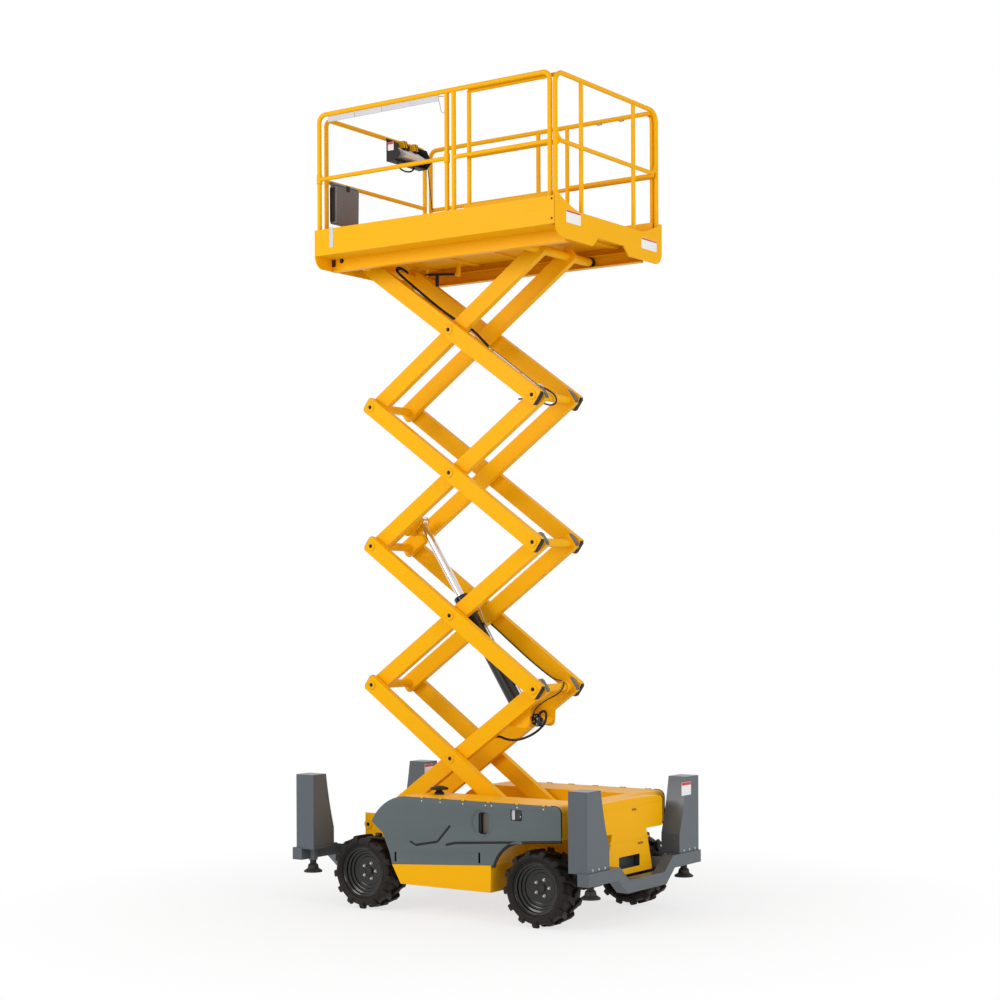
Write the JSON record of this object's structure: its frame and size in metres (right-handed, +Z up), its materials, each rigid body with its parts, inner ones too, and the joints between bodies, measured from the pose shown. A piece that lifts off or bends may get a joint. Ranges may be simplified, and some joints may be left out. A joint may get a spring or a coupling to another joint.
{
  "type": "rough-terrain scissor lift",
  "caption": "Wheeled scissor lift with four crossed-arm stages, a central lift cylinder, a railed platform with a roll-out deck, and a screw-down stabiliser at each corner.",
  "frame": {"origin": "on the ground, under the middle of the machine's length and width", "axes": "+X towards the steered end with the roll-out deck, +Y across, +Z up"},
  "size_m": [3.22, 1.91, 7.253],
  "materials": {
    "yellow_paint": "gloss enamel",
    "grey_cover": "satin moulded covers",
    "grey_paint": "satin enamel",
    "black_paint": "satin enamel",
    "tyre_rubber": "matt",
    "chrome_rod": "polished",
    "leg_steel": "satin",
    "axle_iron": "painted casting",
    "engine_iron": "rough",
    "tank_steel": "satin",
    "black_plastic": "matt",
    "grey_plastic": "matt",
    "pale_plastic": "satin",
    "roller_steel": "turned",
    "slider_plastic": "satin"
  },
  "bodies": {
    "chassis": {"chassis_frame": "yellow_paint", "cabinet_near": "yellow_paint", "cabinet_far": "yellow_paint", "engine_block": "engine_iron", "oil_tank": "tank_steel", "end_hood": "yellow_paint", "front_bumper": "grey_paint", "rear_bumper": "grey_paint", "leg_cover_front_near": "grey_paint", "leg_cover_front_far": "grey_paint", "leg_cover_rear_near": "grey_paint", "leg_cover_rear_far": "grey_paint", "front_axle": "axle_iron", "rear_axle": "axle_iron", "filler_cap": "black_plastic"},
    "inner_1": {"inner_arms_1": "yellow_paint"},
    "outer_1": {"outer_arms_1": "yellow_paint", "track_rollers": "roller_steel"},
    "inner_2": {"inner_arms_2": "yellow_paint"},
    "outer_2": {"outer_arms_2": "yellow_paint"},
    "inner_3": {"inner_arms_3": "yellow_paint"},
    "outer_3": {"outer_arms_3": "yellow_paint"},
    "inner_4": {"inner_arms_4": "yellow_paint", "slide_blocks": "slider_plastic"},
    "outer_4": {"outer_arms_4": "yellow_paint"},
    "platform": {"platform_deck": "yellow_paint", "guardrail_near": "yellow_paint", "guardrail_far": "yellow_paint", "guardrail_rear": "yellow_paint", "rail_strip": "pale_plastic", "control_box": "black_plastic", "document_box": "grey_plastic"},
    "roll_out": {"roll_out_deck": "yellow_paint", "guardrail_front": "yellow_paint"},
    "entry_bar": {"entry_bar": "yellow_paint"},
    "cylinder_barrel": {"lift_cylinder_barrel": "black_paint"},
    "cylinder_rod": {"lift_cylinder_rod": "chrome_rod"},
    "knuckle_near": {"knuckle_near": "axle_iron"},
    "side_cover_near": {"side_cover_near": "grey_cover"},
    "wheel_front_near": {"rim_front_near": "black_paint", "tyre_front_near": "tyre_rubber"},
    "leg_front_near": {"stabiliser_leg_front_near": "leg_steel"},
    "wheel_rear_near": {"rim_rear_near": "black_paint", "tyre_rear_near": "tyre_rubber"},
    "leg_rear_near": {"stabiliser_leg_rear_near": "leg_steel"},
    "knuckle_far": {"knuckle_far": "axle_iron"},
    "side_cover_far": {"side_cover_far": "grey_cover"},
    "wheel_front_far": {"rim_front_far": "black_paint", "tyre_front_far": "tyre_rubber"},
    "leg_front_far": {"stabiliser_leg_front_far": "leg_steel"},
    "wheel_rear_far": {"rim_rear_far": "black_paint", "tyre_rear_far": "tyre_rubber"},
    "leg_rear_far": {"stabiliser_leg_rear_far": "leg_steel"}
  },
  "joints": [
    {"name": "scissor_raise", "type": "hinge", "parent": "chassis", "child": "inner_1", "pos_m": [-1.152, 0, 0.703], "axis": [0, -1, 0], "range_deg": [-30.5, 13.9]},
    {"name": "stage_1_cross", "type": "hinge", "parent": "inner_1", "child": "outer_1", "pos_m": [-0.24426, 0, 1.35048], "axis": [0, -1, 0], "range_deg": [-27.9, 61.1]},
    {"name": "stage_2_foot", "type": "hinge", "parent": "outer_1", "child": "inner_2", "pos_m": [-1.152, 0, 1.99797], "axis": [0, -1, 0], "range_deg": [-61.1, 27.9]},
    {"name": "stage_2_cross", "type": "hinge", "parent": "inner_2", "child": "outer_2", "pos_m": [-0.24426, 0, 2.64545], "axis": [0, -1, 0], "range_deg": [-27.9, 61.1]},
    {"name": "stage_3_foot", "type": "hinge", "parent": "outer_2", "child": "inner_3", "pos_m": [-1.152, 0, 3.29293], "axis": [0, -1, 0], "range_deg": [-61.1, 27.9]},
    {"name": "stage_3_cross", "type": "hinge", "parent": "inner_3", "child": "outer_3", "pos_m": [-0.24426, 0, 3.94042], "axis": [0, -1, 0], "range_deg": [-27.9, 61.1]},
    {"name": "stage_4_foot", "type": "hinge", "parent": "outer_3", "child": "inner_4", "pos_m": [-1.152, 0, 4.5879], "axis": [0, -1, 0], "range_deg": [-61.1, 27.9]},
    {"name": "stage_4_cross", "type": "hinge", "parent": "inner_4", "child": "outer_4", "pos_m": [-0.24426, 0, 5.23539], "axis": [0, -1, 0], "range_deg": [-27.9, 61.1]},
    {"name": "platform_pivot", "type": "hinge", "parent": "outer_4", "child": "platform", "pos_m": [-1.152, 0, 5.88287], "axis": [0, -1, 0], "range_deg": [-30.6, 14]},
    {"name": "cylinder_tilt", "type": "hinge", "parent": "inner_1", "child": "cylinder_barrel", "pos_m": [0.35289, 0, 1.6843], "axis": [0, -1, 0], "range_deg": [-29.66, 64.97]},
    {"name": "cylinder_stroke", "type": "slide", "parent": "cylinder_barrel", "child": "cylinder_rod", "axis": [-0.5394, 0, 0.8421], "range_m": [-0.7632, 0.3489]},
    {"name": "deck_roll_out", "type": "slide", "parent": "platform", "child": "roll_out", "axis": [1, 0, 0], "range_m": [0, 0.9]},
    {"name": "entry_lift", "type": "slide", "parent": "platform", "child": "entry_bar", "axis": [0, 0, 1], "range_m": [0, 0.45]},
    {"name": "steer_near", "type": "hinge", "parent": "chassis", "child": "knuckle_near", "pos_m": [1.02, -0.6, 0.333], "axis": [0, 0, 1], "range_deg": [-24, 24]},
    {"name": "cover_near_lift", "type": "hinge", "parent": "chassis", "child": "side_cover_near", "pos_m": [0.2675, -0.87, 1.045], "axis": [-1, 0, 0], "range_deg": [0, 80]},
    {"name": "spin_front_near", "type": "hinge", "parent": "knuckle_near", "child": "wheel_front_near", "pos_m": [1.02, -0.74, 0.333], "axis": [0, 1, 0], "continuous": true},
    {"name": "leg_front_near_drop", "type": "slide", "parent": "chassis", "child": "leg_front_near", "axis": [0, 0, -1], "range_m": [0, 0.35]},
    {"name": "spin_rear_near", "type": "hinge", "parent": "chassis", "child": "wheel_rear_near", "pos_m": [-0.86, -0.74, 0.333], "axis": [0, 1, 0], "continuous": true},
    {"name": "leg_rear_near_drop", "type": "slide", "parent": "chassis", "child": "leg_rear_near", "axis": [0, 0, -1], "range_m": [0, 0.35]},
    {"name": "steer_far", "type": "hinge", "parent": "chassis", "child": "knuckle_far", "pos_m": [1.02, 0.6, 0.333], "axis": [0, 0, 1], "range_deg": [-24.1, 24.1]},
    {"name": "cover_far_lift", "type": "hinge", "parent": "chassis", "child": "side_cover_far", "pos_m": [0.2675, 0.87, 1.045], "axis": [1, 0, 0], "range_deg": [0, 80]},
    {"name": "spin_front_far", "type": "hinge", "parent": "knuckle_far", "child": "wheel_front_far", "pos_m": [1.02, 0.74, 0.333], "axis": [0, 1, 0], "continuous": true},
    {"name": "leg_front_far_drop", "type": "slide", "parent": "chassis", "child": "leg_front_far", "axis": [0, 0, -1], "range_m": [0, 0.35]},
    {"name": "spin_rear_far", "type": "hinge", "parent": "chassis", "child": "wheel_rear_far", "pos_m": [-0.86, 0.74, 0.333], "axis": [0, 1, 0], "continuous": true},
    {"name": "leg_rear_far_drop", "type": "slide", "parent": "chassis", "child": "leg_rear_far", "axis": [0, 0, -1], "range_m": [0, 0.35]}
  ],
  "couplings": [
    {"joint": "stage_1_cross", "follows": "scissor_raise", "ratio": -2},
    {"joint": "stage_2_foot", "follows": "scissor_raise", "ratio": 2},
    {"joint": "stage_2_cross", "follows": "scissor_raise", "ratio": -2},
    {"joint": "stage_3_foot", "follows": "scissor_raise", "ratio": 2},
    {"joint": "stage_3_cross", "follows": "scissor_raise", "ratio": -2},
    {"joint": "stage_4_foot", "follows": "scissor_raise", "ratio": 2},
    {"joint": "stage_4_cross", "follows": "scissor_raise", "ratio": -2},
    {"joint": "platform_pivot", "follows": "scissor_raise", "ratio": 1},
    {"joint": "cylinder_tilt", "follows": "scissor_raise", "ratio": -2.127},
    {"joint": "cylinder_stroke", "follows": "scissor_raise", "m_per_rad": 1.43},
    {"joint": "steer_far", "follows": "steer_near", "ratio": 1}
  ]
}
